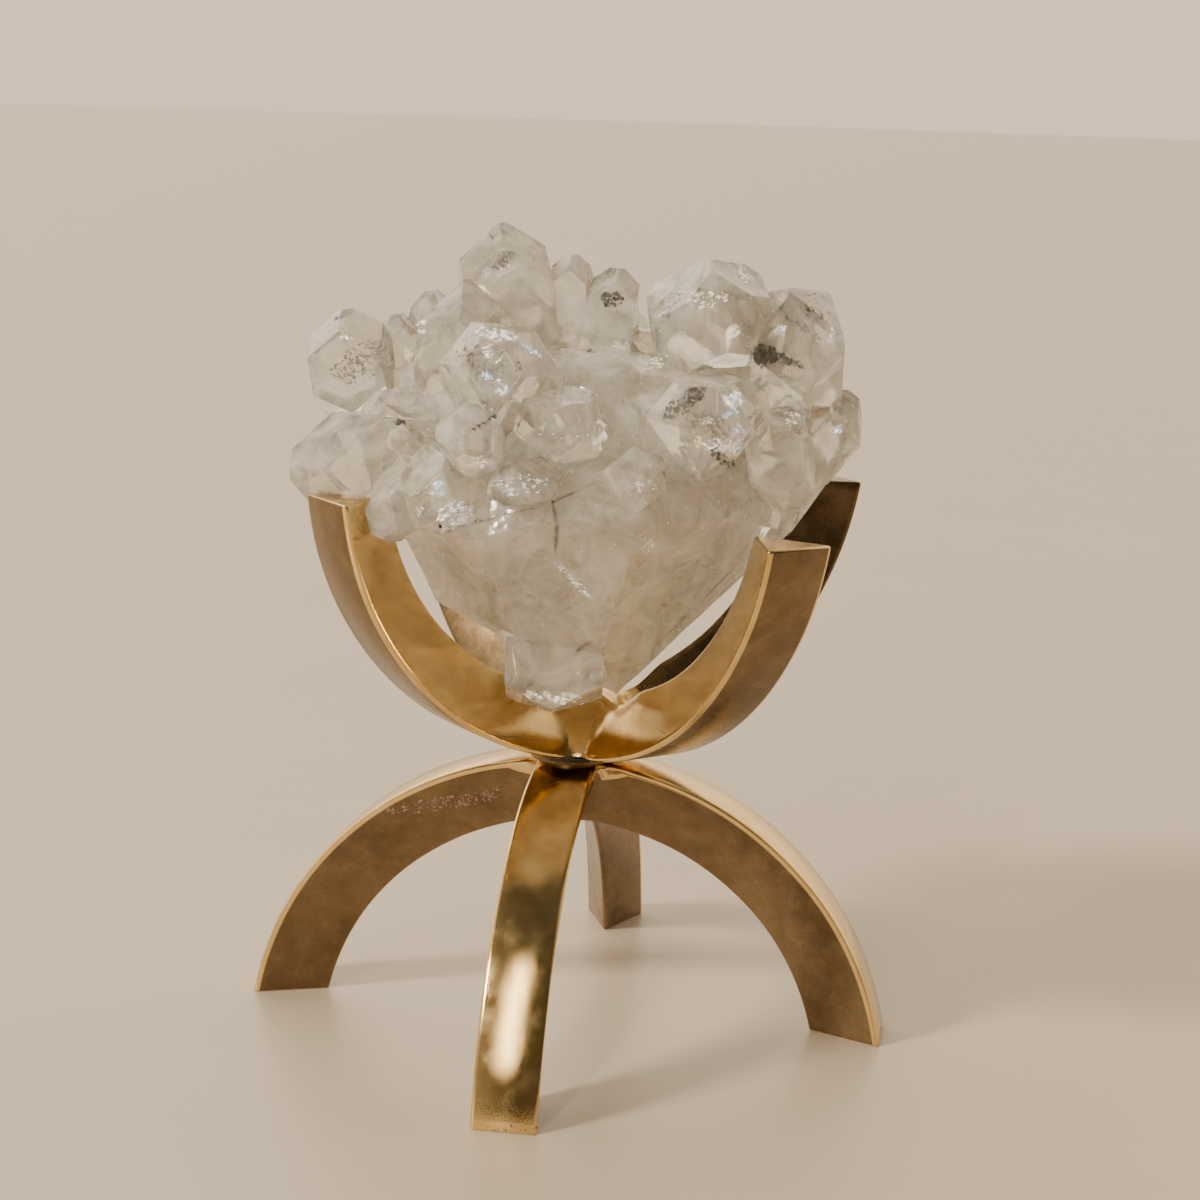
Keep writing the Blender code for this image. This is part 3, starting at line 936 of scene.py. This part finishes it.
def make_slivers(thing, lines, kind, materials):
    """Thin slivers that lie in the surface, widest in the middle, one object for each line."""
    skin = make_skin(thing)
    for name, (pixels, gape, tone) in lines.items():
        found = [spot_inside(skin, x, y, 0) for x, y in pixels]
        found = [(spot, normal) for spot, normal in found if spot is not None]
        bm = bmesh.new()
        rims = []
        for i, (spot, normal) in enumerate(found):
            before = found[max(0, i - 1)][0]
            after = found[min(len(found) - 1, i + 1)][0]
            side = normal.cross(after - before).normalized()
            swell = math.sin(math.pi * i / (len(found) - 1))
            width = gape * (SLIVER_END + (1 - SLIVER_END) * swell) * MM
            rims.append((bm.verts.new(spot - side * width / 2), bm.verts.new(spot + side * width / 2)))
        for rim, following in zip(rims, rims[1:]):
            bm.faces.new((rim[0], rim[1], following[1], following[0]))
        sheet = add_object(f"{kind}_{name}", bm, materials[tone])
        body = sheet.modifiers.new("thickness", "SOLIDIFY")
        body.thickness = SLIVER_THICK * MM
        body.offset = 0
        apply_modifiers(sheet)
        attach(sheet, "root")


def make_speck_material(tone):
    """Dull mineral grains, uneven in colour."""
    material, tree, shader = new_material(f"{tone}_mineral")
    grain = noise_value(tree, object_point(tree), scale=1.4, detail=3, rough=0.6)
    share = remap(tree, grain, (0.35, 0.65), (0, 1))
    tree.links.new(mix_colours(tree, share, *TONES[tone]), shader.inputs["Base Color"])
    tree.links.new(remap(tree, grain, (0.3, 0.7), (0.3, 0.6)), shader.inputs["Roughness"])
    return material


def make_glint_flake_material(tone):
    """Bright cleavage plates that glow as painted glints, with feathered outlines."""
    material, tree, shader = new_material(f"{tone}_flake")
    grain = noise_value(tree, object_point(tree), scale=1.7, detail=3, rough=0.7)
    share = remap(tree, grain, (0.35, 0.65), (0, 1))
    colour = mix_colours(tree, share, *TONES[tone])
    tree.links.new(colour, shader.inputs["Base Color"])
    tree.links.new(colour, shader.inputs["Emission Color"])
    tree.links.new(remap(tree, grain, (0.3, 0.7), (0.08, 0.25)), shader.inputs["Roughness"])
    glow = remap(tree, grain, (0.40, 0.62), (0.05, PAINTED_GLINT_GLOW))
    tree.links.new(glow, shader.inputs["Emission Strength"])
    feather = noise_value(tree, object_point(tree), scale=7.0, detail=2, rough=0.6)
    tree.links.new(remap(tree, feather, (0.38, 0.56), (0.1, 1.0)), shader.inputs["Alpha"])
    return material


# The clouded inside of the stone.


def make_milk_material():
    """Cloudy matter inside the stone, thin in some places and thick in others."""
    material, tree, shader = new_material("milky_matter")
    point = object_point(tree)
    wisp = noise_value(tree, point, scale=0.16, detail=3, rough=0.6, distortion=1.0)
    set_inputs(shader, Base_Color=(0.96, 0.93, 0.85, 1), Roughness=1.0)
    tree.links.new(remap(tree, wisp, (0.34, 0.62), (0.45, 0.95)), shader.inputs["Alpha"])
    return material


def make_milky_body(cluster):
    """The clouded inside of the lower mass, a little under its surface."""
    middle = metres(MILK_MIDDLE)
    bm = bmesh.new()
    for vert in cluster.data.vertices:
        out = (vert.co - middle) * MILK_SHRINK
        if vert.co.z < MILK_TOP * MM and out.xy.length < MILK_REACH * MM:
            bm.verts.new(middle + out)
    hull = bmesh.ops.convex_hull(bm, input=bm.verts)
    inner = [part for part in hull["geom_interior"] if isinstance(part, bmesh.types.BMVert)]
    bmesh.ops.delete(bm, geom=inner, context="VERTS")
    body = add_object("milky_body", bm, make_milk_material())
    remesh = body.modifiers.new("even faces", "REMESH")
    remesh.mode = "VOXEL"
    remesh.voxel_size = MILK_VOXEL * MM
    apply_modifiers(body)
    for vert in body.data.vertices:
        spot = vert.co / MM
        swell = MILK_SWELL * noise.noise(spot * MILK_SWELL_SCALE)
        vert.co = middle + (vert.co - middle) * (MILK_EVEN + swell)
    shade_smooth(body, MILK_SHARP)
    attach(body, "root")


# The studio.


def make_floor():
    material, tree, shader = new_material("pale_floor")
    point = object_point(tree)
    cloud = noise_value(tree, point, scale=0.012, detail=3, rough=0.6, distortion=0.5)
    colour = mix_colours(tree, remap(tree, cloud, (0.3, 0.7), (0, 1)), FLOOR_DARK, FLOOR_LIGHT)
    tree.links.new(colour, shader.inputs["Base Color"])
    tree.links.new(remap(tree, cloud, (0.3, 0.7), (0.32, 0.42)), shader.inputs["Roughness"])
    bm = bmesh.new()
    bmesh.ops.create_circle(bm, cap_ends=True, segments=FLOOR_SIDES, radius=FLOOR_RADIUS * MM)
    floor = add_object("floor", bm, material)


def make_world():
    """Soft surroundings: bright behind, dimmer in front to the left, dark overhead and to the front right."""
    world = bpy.data.worlds.new("studio")
    bpy.context.scene.world = world
    world.use_nodes = True
    tree = world.node_tree
    background = tree.nodes["Background"]
    place = add_node(tree, "ShaderNodeTexCoord")
    parts = add_node(tree, "ShaderNodeSeparateXYZ")
    tree.links.new(place.outputs["Generated"], parts.inputs[0])
    behind = remap(tree, parts.outputs["Y"], (-0.35, 0.45), (0, 1))
    above = remap(tree, parts.outputs["Z"], (0.55, 0.95), (0, 1))
    left = remap(tree, parts.outputs["X"], (-0.3, -0.9), (0, 1))
    rise = remap(tree, parts.outputs["Z"], (0.03, 0.25), (0, 1))
    front = mix_colours(tree, left, FRONT_RIGHT, FRONT_LEFT)
    back = mix_colours(tree, rise, BEHIND_LOW, BEHIND_HIGH)
    around = mix_colours(tree, behind, front, back)
    colour = mix_colours(tree, above, around, OVERHEAD)
    tree.links.new(colour, background.inputs["Color"])


def main():
    make_camera()
    make_world()
    make_lights()
    make_floor()
    polished = make_brass("polished_brass", POLISHED)
    patina_and_painted_shade = make_brass("patina_and_painted_shade_brass", PATINA_AND_PAINTED_SHADE)
    base = make_base(polished, patina_and_painted_shade)
    cup = make_cup(polished, patina_and_painted_shade)
    cluster = make_cluster(make_apophyllite())
    specks = {tone: make_speck_material(tone) for tone in MINERALS}
    flakes = {tone: make_glint_flake_material(tone) for tone in TONES if tone not in MINERALS}
    make_marks(cluster, SPECKS, add_speck, "specks", specks, "apophyllite")
    make_marks(cluster, GLINT_FLAKES, add_glint_flake, "flakes", flakes, "apophyllite")
    make_marks(base, CAST_MARKS, add_speck, "cast_marks", specks, "brass")
    make_slivers(cluster, CRACKS, "crack", {**specks, **flakes})
    make_slivers(cup, CUP_SCRATCHES, "scratch", specks)
    make_slivers(base, LEG_SCRATCHES, "scratch", specks)
    make_milky_body(cluster)


main()
